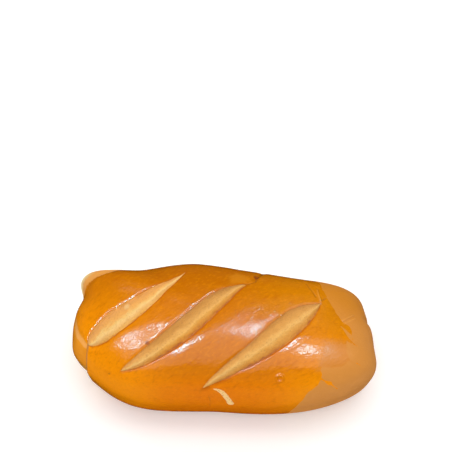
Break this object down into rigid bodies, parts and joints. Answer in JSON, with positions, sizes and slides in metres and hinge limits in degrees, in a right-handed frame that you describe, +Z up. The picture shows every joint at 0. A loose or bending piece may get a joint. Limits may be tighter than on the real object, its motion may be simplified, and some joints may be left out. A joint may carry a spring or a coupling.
{
  "type": "milk bun",
  "caption": "Long soft roll with a domed golden crust, slanting open slashes and a flat foot.",
  "frame": {"origin": "middle of the bun's plan box, on the flat foot it rests on", "axes": "+X along the bun towards its unglazed end, -Y towards the viewer of the picture, +Z up"},
  "size_m": [0.151, 0.0732, 0.0519],
  "materials": {
    "crust": null
  },
  "bodies": {
    "root": {"milk_bun": "crust"}
  },
  "joints": []
}
